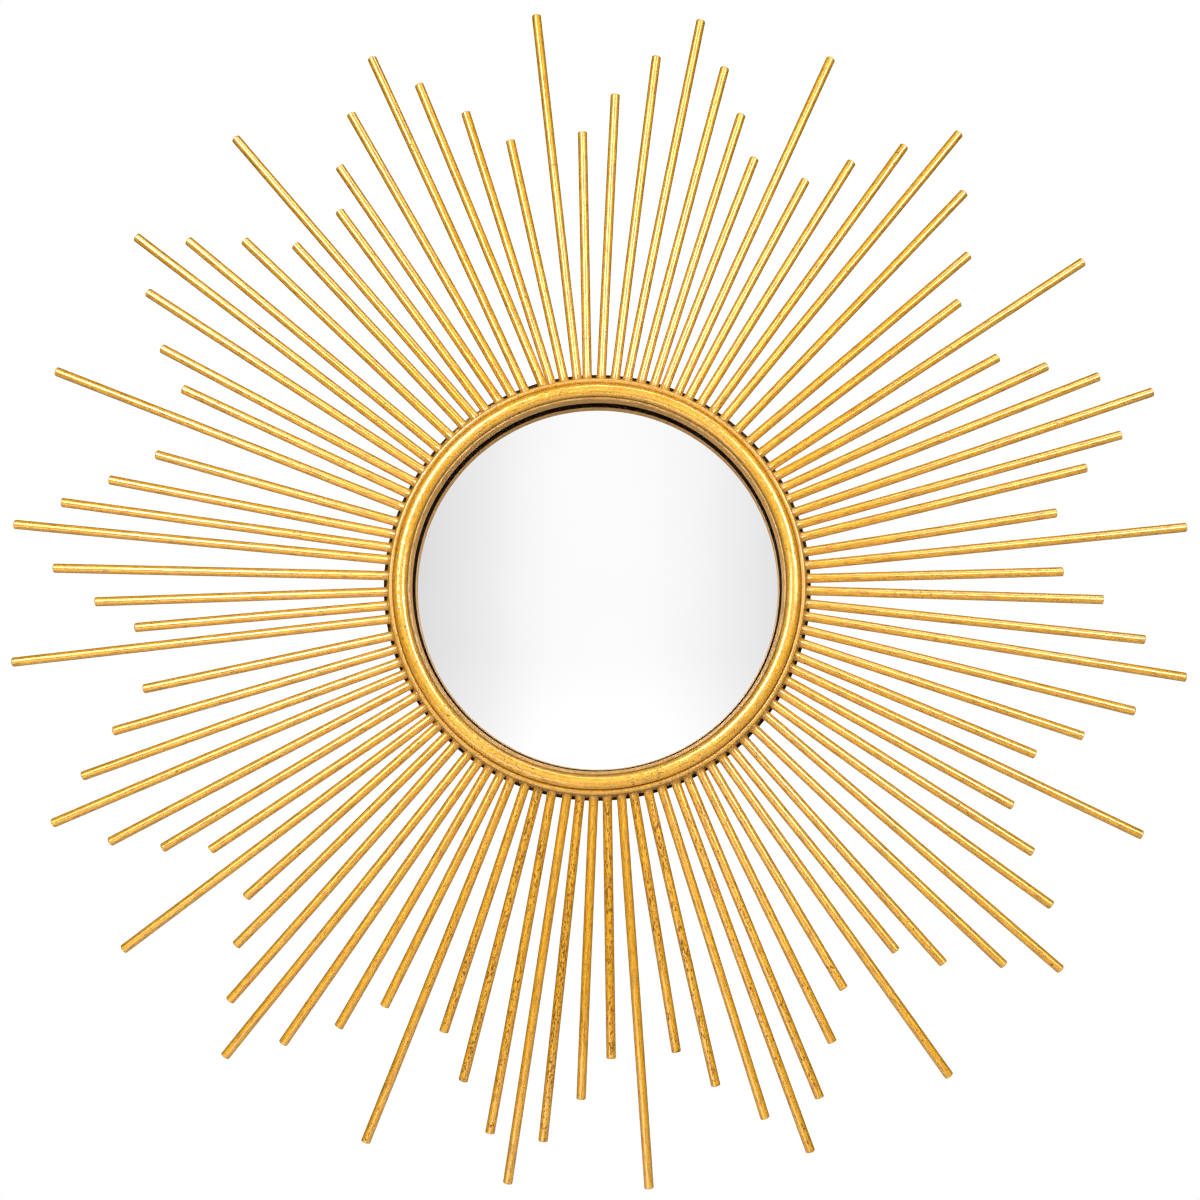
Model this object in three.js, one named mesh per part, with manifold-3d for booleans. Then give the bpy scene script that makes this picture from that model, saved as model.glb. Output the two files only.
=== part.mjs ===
// Round sunburst wall mirror: a small mirror in a moulded gilt ring, with 96 straight rods welded round it.
// Millimetres. +X right, +Z up, the viewer on the -Y side, the wall at y = 0.
// Depths below are distances in front of the wall, so a depth d is y = -d.
import * as THREE from "three";
import { mergeVertices } from "three/addons/utils/BufferGeometryUtils.js";
import Module from "manifold-3d";

const wasm = await Module();
wasm.setup();

// ---- driving dimensions ----
const GAP = 0.3; // clearance between pieces that touch

const BOARD_R = 136; // backing board, a disc with a recess for the glass
const BOARD_FLOOR = 6;
const BOARD_RIM_IN = 130.8;

const GLASS_R = 130.3;
const GLASS_T = 4;

const HOOP_OUT = 138.4; // flat iron hoop that the ring and the rods are welded to
const HOOP_IN = 122;
const HOOP_T = 6.5;

const RING_IN = 119.6; // moulded front ring
const RING_OUT = 134.8;
const RING_WALL = 12; // depth of the bare inner wall
const LIP_W = 1.6;
const LIP_H = 0.6;
const BEAD_W = 8.7;
const BEAD_H = 2.8;
const QUIRK_W = 0.4; // the two narrow grooves beside the bead
const QUIRK_D = 0.5;
const FLANGE_DROP = 3.0; // how far the outer roll lies below the lip
const FLANGE_H = 1.3;
const SHOULDER = 0.7; // the outer wall slopes out this much below the roll

const ROD_R = 3; // 6 mm round bar
const ROD_SIDES = 8;
const TIP_R = { long: 381, third: 352.6, second: 325, first: 299.7 }; // tip radii
const REPEAT = [
  "long",
  "first",
  "second",
  "third",
  "long",
  "third",
  "second",
  "first",
];
const FANS = 12;
const PITCH = 360 / (FANS * REPEAT.length);
const START = -6.95; // angle of the first rod, clockwise from straight up as the viewer sees it

// How the welder set each rod, in tenths of a degree: its root's slip round the ring, and its lean off the radius.
// One row for each fan of eight.
const SLIP = [
  [15, 5, 6, 7, 3, 4, 3, -4],
  [-3, -8, -9, -7, -8, 2, 9, 16],
  [25, 18, 17, 13, 16, 14, 12, 16],
  [15, 13, 9, 7, 4, 3, 2, 2],
  [0, -2, -3, -4, -5, 5, 8, 11],
  [9, 8, 3, 4, 1, 4, 4, 6],
  [2, 3, 2, 1, -1, 4, 4, 3],
  [7, 1, -1, -6, -9, -3, -7, -9],
  [-18, -23, -21, -24, -29, -32, -32, -32],
  [-23, -23, -23, -16, -10, -14, -14, -16],
  [-10, -8, -9, -8, -12, -9, 1, 9],
  [11, 9, 16, 17, 17, 31, 18, 16],
];
const LEAN = [
  [-10, 15, 16, 22, 31, 26, 19, 23],
  [17, 21, 22, 21, 21, 16, 31, 18],
  [11, 31, 29, 28, 17, 12, -5, 2],
  [-3, 4, 3, 11, 7, 18, 26, 30],
  [25, 25, 22, 21, 33, 12, 20, 6],
  [6, 17, 32, 29, 18, 4, 11, 7],
  [27, 20, 16, 17, 7, -20, -16, -14],
  [-20, -4, -4, 10, 16, -2, 2, -2],
  [17, 18, 5, 4, 18, 16, 14, 18],
  [27, 5, -2, -14, -16, -25, -32, -20],
  [-6, -10, -17, -5, 5, -11, -21, -31],
  [-47, -40, -63, -57, -44, -72, -49, -35],
];

const WELD_W = 1.5; // run of weld in the corner behind the rods' roots
const WELD_H = 1.9;
const WELD_STEPS = 10;

const ROUND = 56; // sides of the turned pieces

const PLATE = { w: 60, h: 17, t: 1.5, z: 104 }; // keyhole hanger plate, set flush in the back
const KEY = { entry: 4.8, slot: 2, rise: 9, headDepth: 4.8 }; // entry hole, neck, rise between them, pocket behind
const SCREW = { x: 23, headR: 3.3, headT: 0.9, shankR: 1.5, length: 4.2 };

// ---- depths that follow ----
const BOARD_RIM_TOP = BOARD_FLOOR + GAP + GLASS_T;
const HOOP_BACK = BOARD_RIM_TOP + GAP;
const HOOP_FRONT = HOOP_BACK + HOOP_T;
const SEAT = HOOP_FRONT + GAP; // the ring's back, and the rods' backs
const ROD_AXIS = SEAT + ROD_R;
const LIP_FRONT = SEAT + RING_WALL;

const rad = (deg) => (deg * Math.PI) / 180;

// ---- solids ----
function toSolid(geometry) {
  const g = geometry.index ? geometry.toNonIndexed() : geometry.clone();
  const bare = new THREE.BufferGeometry().setAttribute(
    "position",
    g.getAttribute("position"),
  );
  const merged = mergeVertices(bare, 1e-4);
  return new wasm.Manifold(
    new wasm.Mesh({
      numProp: 3,
      vertProperties: merged.attributes.position.array,
      triVerts: new Uint32Array(merged.index.array),
    }),
  );
}

function toGeometry(solid) {
  const m = solid.getMesh();
  const xyz = new Float32Array(m.numVert * 3);
  for (let i = 0; i < m.numVert; i++)
    xyz.set(m.vertProperties.subarray(i * m.numProp, i * m.numProp + 3), i * 3);
  const g = new THREE.BufferGeometry();
  g.setAttribute("position", new THREE.BufferAttribute(xyz, 3));
  g.setIndex(new THREE.BufferAttribute(new Uint32Array(m.triVerts), 1));
  const flat = g.toNonIndexed();
  flat.computeVertexNormals();
  return flat;
}

// A turned piece about the object's axis, from a closed outline of [radius, depth] pairs taken clockwise.
function turned(outline, sides = ROUND) {
  const pts = outline.map(([r, d]) => new THREE.Vector2(r, -d));
  if (outline[0][0] > 0) pts.push(pts[0].clone());
  return toSolid(new THREE.LatheGeometry(pts, sides));
}

// A box from its centre and size, with x, depth and z.
function block(x, d, z, w, deep, h) {
  const g = new THREE.BoxGeometry(w, deep, h);
  g.translate(x, -d, z);
  return toSolid(g);
}

// A round peg square to the wall, between two depths.
function peg(x, z, r, d0, d1, sides = 14) {
  const g = new THREE.CylinderGeometry(r, r, d1 - d0, sides);
  g.translate(x, -(d0 + d1) / 2, z);
  return toSolid(g);
}

// A bar of the given [radius, depth] section, bent round the axis from angle a to angle b.
function bentBar(section, a, b, steps) {
  const n = section.length;
  const xyz = [];
  for (let i = 0; i <= steps; i++) {
    const t = rad(a + ((b - a) * i) / steps);
    for (const [r, d] of section)
      xyz.push(r * Math.sin(t), -d, r * Math.cos(t));
  }
  const tri = [];
  for (let i = 0; i < steps; i++)
    for (let j = 0; j < n; j++) {
      const k = (j + 1) % n;
      const p = i * n + j,
        q = i * n + k;
      tri.push(p, q, q + n, p, q + n, p + n);
    }
  for (let j = 1; j < n - 1; j++) {
    tri.push(0, j + 1, j);
    const e = steps * n;
    tri.push(e, e + j, e + j + 1);
  }
  const g = new THREE.BufferGeometry();
  g.setAttribute(
    "position",
    new THREE.BufferAttribute(new Float32Array(xyz), 3),
  );
  g.setIndex(tri);
  let s = toSolid(g);
  if (s.volume() < 0) {
    for (let i = 0; i < tri.length; i += 3)
      [tri[i + 1], tri[i + 2]] = [tri[i + 2], tri[i + 1]];
    g.setIndex(tri);
    s = toSolid(g);
  }
  return s;
}

// ---- moulded ring ----
function arcOf(r0, d0, halfW, h, from, to, steps) {
  const pts = [];
  for (let i = 0; i <= steps; i++) {
    const t = rad(from + ((to - from) * i) / steps);
    pts.push([r0 - halfW * Math.cos(t), d0 + h * Math.sin(t)]);
  }
  return pts;
}

function ringOutline() {
  const lipC = RING_IN + LIP_W / 2;
  const bead0 = RING_IN + LIP_W + QUIRK_W;
  const bead1 = bead0 + BEAD_W;
  const roll0 = bead1 + QUIRK_W;
  const rollW = (RING_OUT - SHOULDER - roll0) / 2;
  const rollC = roll0 + rollW;
  const rollD = LIP_FRONT - FLANGE_DROP;
  return [
    [RING_IN, SEAT],
    [RING_IN, LIP_FRONT - LIP_H],
    ...arcOf(lipC, LIP_FRONT - LIP_H, LIP_W / 2, LIP_H, 45, 180, 2),
    [RING_IN + LIP_W + QUIRK_W / 2, LIP_FRONT - LIP_H - QUIRK_D],
    ...arcOf((bead0 + bead1) / 2, LIP_FRONT - LIP_H, BEAD_W / 2, BEAD_H, 0, 180, 5),
    [bead1 + QUIRK_W / 2, rollD - QUIRK_D],
    ...arcOf(rollC, rollD, rollW, FLANGE_H, 0, 180, 3),
    [RING_OUT, rollD - 1.6],
    [RING_OUT, SEAT],
  ];
}

// ---- rods ----
function rodAngles(fan, i) {
  const root =
    START + PITCH * (fan * REPEAT.length + i) + SLIP[fan][i] / 10;
  return { root, aim: root + LEAN[fan][i] / 10 };
}

function rod(fan, i) {
  const { root, aim } = rodAngles(fan, i);
  const lean = rad(aim - root);
  const start = RING_OUT + GAP + ROD_R * Math.abs(Math.sin(lean));
  // length from the root to the tip's radius along the leaning line
  const b = start * Math.cos(lean);
  const tip = TIP_R[REPEAT[i]];
  const length = -b + Math.sqrt(b * b - start * start + tip * tip);
  const section = new THREE.Shape();
  for (let k = 0; k < ROD_SIDES; k++) {
    const t = (2 * Math.PI * k) / ROD_SIDES;
    section[k ? "lineTo" : "moveTo"](ROD_R * Math.cos(t), ROD_R * Math.sin(t));
  }
  const g = new THREE.ExtrudeGeometry(section, {
    depth: length,
    bevelEnabled: false,
  });
  g.rotateY(rad(aim)); // +Z turns towards +X
  g.translate(
    start * Math.sin(rad(root)),
    -ROD_AXIS,
    start * Math.cos(rad(root)),
  );
  return toSolid(g);
}

function fanOf(fan) {
  const last = REPEAT.length - 1;
  const prev = rodAngles((fan + FANS - 1) % FANS, last).root;
  const next = rodAngles((fan + 1) % FANS, 0).root;
  const wrap = (a, near) => a + 360 * Math.round((near - a) / 360);
  const first = rodAngles(fan, 0).root;
  const end = rodAngles(fan, last).root;
  const halfGap = (GAP / 2 / RING_OUT) * (180 / Math.PI);
  const a = (first + wrap(prev, first)) / 2 + halfGap;
  const b = (end + wrap(next, end)) / 2 - halfGap;
  const r = RING_OUT + GAP;
  let s = bentBar(
    [
      [r, SEAT],
      [r + WELD_W, SEAT],
      [r, SEAT + WELD_H],
    ],
    a,
    b,
    WELD_STEPS,
  );
  for (let i = 0; i <= last; i++) s = s.add(rod(fan, i));
  return s;
}

// ---- backing board and hanger ----
function keyhole(d0, d1, entry, slot) {
  return peg(0, PLATE.z - 3, entry, d0, d1)
    .add(peg(0, PLATE.z - 3 + KEY.rise, slot, d0, d1, 8))
    .add(
      block(
        0,
        (d0 + d1) / 2,
        PLATE.z - 3 + KEY.rise / 2,
        2 * slot,
        d1 - d0,
        KEY.rise,
      ),
    );
}

function plateBlank(d0, d1, grow) {
  const r = PLATE.h / 2 + grow;
  const x = PLATE.w / 2 - PLATE.h / 2;
  return block(0, (d0 + d1) / 2, PLATE.z, 2 * x, d1 - d0, 2 * r)
    .add(peg(x, PLATE.z, r, d0, d1, 14))
    .add(peg(-x, PLATE.z, r, d0, d1, 14));
}

function board() {
  let s = turned([
    [0, 0],
    [0, BOARD_FLOOR],
    [BOARD_RIM_IN, BOARD_FLOOR],
    [BOARD_RIM_IN, BOARD_RIM_TOP],
    [BOARD_R, BOARD_RIM_TOP],
    [BOARD_R, 0],
    [0, 0],
  ]);
  s = s.subtract(plateBlank(-1, PLATE.t + GAP, GAP));
  s = s.subtract(keyhole(-1, KEY.headDepth, KEY.entry + 1, KEY.entry));
  for (const side of [-1, 1])
    s = s.subtract(
      peg(side * SCREW.x, PLATE.z, SCREW.shankR + GAP, 0, SCREW.length + GAP, 8),
    );
  return s;
}

function hangerPlate() {
  let s = plateBlank(0, PLATE.t, 0).subtract(
    keyhole(-1, PLATE.t + 1, KEY.entry, KEY.slot),
  );
  for (const side of [-1, 1]) {
    s = s.subtract(
      peg(side * SCREW.x, PLATE.z, SCREW.headR + GAP, -1, SCREW.headT + GAP, 12),
    );
    s = s.subtract(
      peg(side * SCREW.x, PLATE.z, SCREW.shankR + GAP, -1, PLATE.t + 1, 8),
    );
  }
  return s;
}

function hangerScrew(side) {
  return peg(side * SCREW.x, PLATE.z, SCREW.headR, 0, SCREW.headT, 12).add(
    peg(side * SCREW.x, PLATE.z, SCREW.shankR, SCREW.headT / 2, SCREW.length, 8),
  );
}

// ---- materials ----
const paint = (color, roughness, metalness) =>
  new THREE.MeshStandardMaterial({ color, roughness, metalness });
const GILT = [0xe0a63a, 0.38, 0.85];
const group = new THREE.Group();
function place(name, solid, look) {
  const mesh = new THREE.Mesh(toGeometry(solid), paint(...look));
  mesh.name = name;
  group.add(mesh);
}

place("moulded_ring", turned(ringOutline()), GILT);
place(
  "hoop",
  turned([
    [HOOP_IN, HOOP_BACK],
    [HOOP_IN, HOOP_FRONT],
    [HOOP_OUT, HOOP_FRONT],
    [HOOP_OUT, HOOP_BACK],
  ]),
  [0x2a1c10, 0.7, 0.4],
);
for (let fan = 0; fan < FANS; fan++)
  place("ray_fan_" + String(fan + 1).padStart(2, "0"), fanOf(fan), GILT);
place(
  "mirror_glass",
  turned([
    [0, BOARD_FLOOR + GAP],
    [0, BOARD_RIM_TOP],
    [GLASS_R, BOARD_RIM_TOP],
    [GLASS_R, BOARD_FLOOR + GAP],
    [0, BOARD_FLOOR + GAP],
  ]),
  [0xe8e8ea, 0.02, 1],
);
place("backing_board", board(), [0x17130f, 0.85, 0]);
place("hanger_plate", hangerPlate(), [0xb9bcc0, 0.35, 0.9]);
place("hanger_screw_left", hangerScrew(-1), [0xb9bcc0, 0.35, 0.9]);
place("hanger_screw_right", hangerScrew(1), [0xb9bcc0, 0.35, 0.9]);

export default group;
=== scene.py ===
"""Looks of the round sunburst wall mirror: gilt moulded ring, hand-set gilt bars, dark hoop, mirror and its hidden back.

Same frame as the part: metres, +X right, +Z up, the mirror faces -Y, the wall at y = 0.
Sizes below are in millimetres. A depth d is measured in front of the wall, so it lies at y = -d.
Angles are clockwise from straight up, as the viewer sees the mirror."""
import math

import bmesh
import bpy
import numpy as np
from mathutils import Matrix, Vector


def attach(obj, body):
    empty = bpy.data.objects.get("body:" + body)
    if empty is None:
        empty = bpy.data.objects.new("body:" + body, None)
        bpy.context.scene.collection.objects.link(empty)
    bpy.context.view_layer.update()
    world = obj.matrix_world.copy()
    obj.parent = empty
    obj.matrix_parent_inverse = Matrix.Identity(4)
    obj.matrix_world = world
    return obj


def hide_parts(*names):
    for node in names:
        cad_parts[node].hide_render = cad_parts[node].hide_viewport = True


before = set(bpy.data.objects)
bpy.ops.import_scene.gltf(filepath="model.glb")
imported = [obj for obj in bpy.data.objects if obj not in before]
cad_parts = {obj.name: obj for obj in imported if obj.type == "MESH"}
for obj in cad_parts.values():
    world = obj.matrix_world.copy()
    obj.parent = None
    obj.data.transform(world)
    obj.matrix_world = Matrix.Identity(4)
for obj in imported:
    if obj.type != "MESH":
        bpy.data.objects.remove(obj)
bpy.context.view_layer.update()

MM = 0.001

# ---- sizes shared with the part ----
GAP = 0.3
BOARD_R, BOARD_FLOOR, BOARD_RIM_IN = 136.0, 6.0, 130.8
GLASS_R, GLASS_T = 130.3, 4.0
HOOP_OUT, HOOP_IN, HOOP_T = 138.4, 122.0, 6.5
RING_IN, RING_OUT, RING_WALL = 119.6, 134.8, 12.0
LIP_W, LIP_H = 1.6, 0.6
BEAD_W, BEAD_H = 8.7, 2.8
QUIRK_W, QUIRK_D = 0.4, 0.5
FLANGE_DROP, FLANGE_H = 3.0, 1.3
ROD_R = 3.0
TIP_R = {"long": 381.0, "third": 352.6, "second": 325.0, "first": 299.7}
REPEAT = ["long", "first", "second", "third", "long", "third", "second", "first"]
FANS = 12
PITCH = 360 / 96
START = -6.95
SLIP = [
    [15, 5, 6, 7, 3, 4, 3, -4],
    [-3, -8, -9, -7, -8, 2, 9, 16],
    [25, 18, 17, 13, 16, 14, 12, 16],
    [15, 13, 9, 7, 4, 3, 2, 2],
    [0, -2, -3, -4, -5, 5, 8, 11],
    [9, 8, 3, 4, 1, 4, 4, 6],
    [2, 3, 2, 1, -1, 4, 4, 3],
    [7, 1, -1, -6, -9, -3, -7, -9],
    [-18, -23, -21, -24, -29, -32, -32, -32],
    [-23, -23, -23, -16, -10, -14, -14, -16],
    [-10, -8, -9, -8, -12, -9, 1, 9],
    [11, 9, 16, 17, 17, 31, 18, 16],
]
LEAN = [
    [-10, 15, 16, 22, 31, 26, 19, 23],
    [17, 21, 22, 21, 21, 16, 31, 18],
    [11, 31, 29, 28, 17, 12, -5, 2],
    [-3, 4, 3, 11, 7, 18, 26, 30],
    [25, 25, 22, 21, 33, 12, 20, 6],
    [6, 17, 32, 29, 18, 4, 11, 7],
    [27, 20, 16, 17, 7, -20, -16, -14],
    [-20, -4, -4, 10, 16, -2, 2, -2],
    [17, 18, 5, 4, 18, 16, 14, 18],
    [27, 5, -2, -14, -16, -25, -32, -20],
    [-6, -10, -17, -5, 5, -11, -21, -31],
    [-47, -40, -63, -57, -44, -72, -49, -35],
]
PLATE = {"w": 60.0, "h": 17.0, "t": 1.5, "z": 104.0}
KEY = {"entry": 4.8, "slot": 2.0, "rise": 9.0, "depth": 4.8}
SCREW = {"x": 23.0, "head_r": 3.3, "head_t": 0.9, "shank_r": 1.5, "length": 4.2}

BOARD_TOP = BOARD_FLOOR + GAP + GLASS_T
HOOP_BACK = BOARD_TOP + GAP
HOOP_FRONT = HOOP_BACK + HOOP_T
SEAT = HOOP_FRONT + GAP
ROD_AXIS = SEAT + ROD_R
LIP_FRONT = SEAT + RING_WALL
SILVER = BOARD_TOP  # the plane that reflects


# ---- seeded noise ----
def _hash(ix, iy, iz, seed):
    h = ix.astype(np.uint32) * np.uint32(374761393)
    h = h + iy.astype(np.uint32) * np.uint32(668265263)
    h = h + iz.astype(np.uint32) * np.uint32(2147483647)
    h = h + np.uint32(seed * 1274126177 % 4294967296)
    h = (h ^ (h >> np.uint32(13))) * np.uint32(1274126177)
    h = h ^ (h >> np.uint32(16))
    return h.astype(np.float64) / 4294967295.0 * 2 - 1


def value_noise(p, seed=0):
    """Smooth noise from -1 to 1 at points p, one lattice cell to the unit."""
    q = np.floor(p).astype(np.int64)
    f = p - q
    f = f * f * f * (f * (f * 6 - 15) + 10)
    out = 0
    for dx in (0, 1):
        for dy in (0, 1):
            for dz in (0, 1):
                w = (
                    (f[..., 0] if dx else 1 - f[..., 0])
                    * (f[..., 1] if dy else 1 - f[..., 1])
                    * (f[..., 2] if dz else 1 - f[..., 2])
                )
                out = out + w * _hash(q[..., 0] + dx, q[..., 1] + dy, q[..., 2] + dz, seed)
    return out


def fbm(p, octaves=4, seed=0):
    out, amp, total = 0, 1.0, 0.0
    for k in range(octaves):
        out = out + amp * value_noise(p * 2.0**k + 17.3 * k, seed + k)
        total += amp
        amp *= 0.5
    return out / total


def smooth(a, b, x):
    t = np.clip((x - a) / (b - a), 0, 1)
    return t * t * (3 - 2 * t)


# ---- mesh helpers ----
def new_object(name, verts, faces, material, smooth_faces=True):
    """verts in millimetres."""
    me = bpy.data.meshes.new(name)
    me.from_pydata((np.asarray(verts) * MM).tolist(), [], [tuple(f) for f in faces])
    me.validate(clean_customdata=False)
    bm = bmesh.new()
    bm.from_mesh(me)
    bmesh.ops.recalc_face_normals(bm, faces=bm.faces)
    bm.to_mesh(me)
    bm.free()
    if smooth_faces:
        me.polygons.foreach_set("use_smooth", [True] * len(me.polygons))
    me.update()
    ob = bpy.data.objects.new(name, me)
    bpy.context.scene.collection.objects.link(ob)
    me.materials.append(material)
    return ob


def set_float(ob, name, values):
    a = ob.data.attributes.new(name, "FLOAT", "POINT")
    a.data.foreach_set("value", np.asarray(values, np.float32).ravel())


def set_vector(ob, name, values):
    a = ob.data.attributes.new(name, "FLOAT_VECTOR", "POINT")
    a.data.foreach_set("vector", np.asarray(values, np.float32).ravel())


def grid_faces(rows, cols, wrap_rows, wrap_cols):
    i = np.arange(rows if wrap_rows else rows - 1)[:, None]
    j = np.arange(cols if wrap_cols else cols - 1)[None, :]
    i2, j2 = (i + 1) % rows, (j + 1) % cols
    a, b, c, d = (i * cols + j, i2 * cols + j, i2 * cols + j2, i * cols + j2)
    return np.stack([a + 0 * b, b, c, d], -1).reshape(-1, 4)


def spin(profile, segs):
    """Points of a closed [radius, depth] outline turned about the axis, as (segs, n, 3)."""
    p = np.asarray(profile, float)
    t = np.linspace(0, 2 * np.pi, segs, endpoint=False)[:, None]
    r, d = p[None, :, 0], p[None, :, 1]
    return np.stack([r * np.sin(t), -d + 0 * t, r * np.cos(t)], -1)


def arc(cx, cy, rx, ry, a0, a1, n):
    """Points of an ellipse from angle a0 to a1 in degrees: 0 is towards smaller radius, 90 is outward from the wall."""
    t = np.radians(np.linspace(a0, a1, n))
    return [(cx - rx * math.cos(x), cy + ry * math.sin(x)) for x in t]


def resample(points, step):
    """An outline with no side longer than step."""
    out = []
    n = len(points)
    for k in range(n):
        a, b = np.array(points[k], float), np.array(points[(k + 1) % n], float)
        m = max(1, int(math.ceil(np.linalg.norm(b - a) / step)))
        out += [tuple(a + (b - a) * i / m) for i in range(m)]
    return out


# ---- materials ----
def material(name):
    m = bpy.data.materials.new(name)
    m.use_nodes = True
    return m, m.node_tree, m.node_tree.nodes["Principled BSDF"]


class Graph:
    """Short names for the nodes that the materials below use."""

    def __init__(self, tree):
        self.t = tree

    def node(self, kind, **props):
        n = self.t.nodes.new(kind)
        for k, v in props.items():
            setattr(n, k, v)
        return n

    def link(self, a, b):
        self.t.links.new(a, b)

    def set(self, socket, value):
        if isinstance(value, bpy.types.NodeSocket):
            self.link(value, socket)
        else:
            socket.default_value = value

    def attr(self, name):
        n = self.node("ShaderNodeAttribute", attribute_name=name)
        return n

    def coords_mm(self):
        c = self.node("ShaderNodeTexCoord")
        m = self.node("ShaderNodeVectorMath", operation="SCALE")
        self.link(c.outputs["Object"], m.inputs[0])
        m.inputs["Scale"].default_value = 1000.0
        return m.outputs[0]

    def noise(self, vector, scale, detail=3.0, rough=0.55, distortion=0.0, kind="FBM"):
        n = self.node("ShaderNodeTexNoise", noise_dimensions="3D", noise_type=kind)
        self.link(vector, n.inputs["Vector"])
        n.inputs["Scale"].default_value = scale
        n.inputs["Detail"].default_value = detail
        n.inputs["Roughness"].default_value = rough
        n.inputs["Distortion"].default_value = distortion
        return n.outputs[0]

    def ramp(self, fac, lo, hi, smooth_step=True):
        n = self.node(
            "ShaderNodeMapRange",
            interpolation_type="SMOOTHSTEP" if smooth_step else "LINEAR",
        )
        self.link(fac, n.inputs["Value"])
        n.inputs["From Min"].default_value = lo
        n.inputs["From Max"].default_value = hi
        return n.outputs[0]

    def math(self, op, a, b=None, c=None, clamp=False):
        n = self.node("ShaderNodeMath", operation=op, use_clamp=clamp)
        for k, v in enumerate((a, b, c)):
            if v is not None:
                self.set(n.inputs[k], v)
        return n.outputs[0]

    def mix(self, fac, a, b):
        n = self.node("ShaderNodeMix", data_type="RGBA")
        self.set(n.inputs["Factor"], fac)
        for k, v in (("A", a), ("B", b)):
            s = [x for x in n.inputs if x.name == k and x.type == "RGBA"][0]
            self.set(s, v if isinstance(v, bpy.types.NodeSocket) else (*v, 1.0))
        return [x for x in n.outputs if x.type == "RGBA"][0]

    def mixf(self, fac, a, b):
        n = self.node("ShaderNodeMix", data_type="FLOAT")
        self.set(n.inputs["Factor"], fac)
        self.set(n.inputs["A"], a)
        self.set(n.inputs["B"], b)
        return n.outputs[0]

    def bump(self, height, distance, strength=1.0, normal=None):
        n = self.node("ShaderNodeBump")
        n.inputs["Strength"].default_value = strength
        n.inputs["Distance"].default_value = distance
        self.link(height, n.inputs["Height"])
        if normal is not None:
            self.link(normal, n.inputs["Normal"])
        return n.outputs[0]


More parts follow.
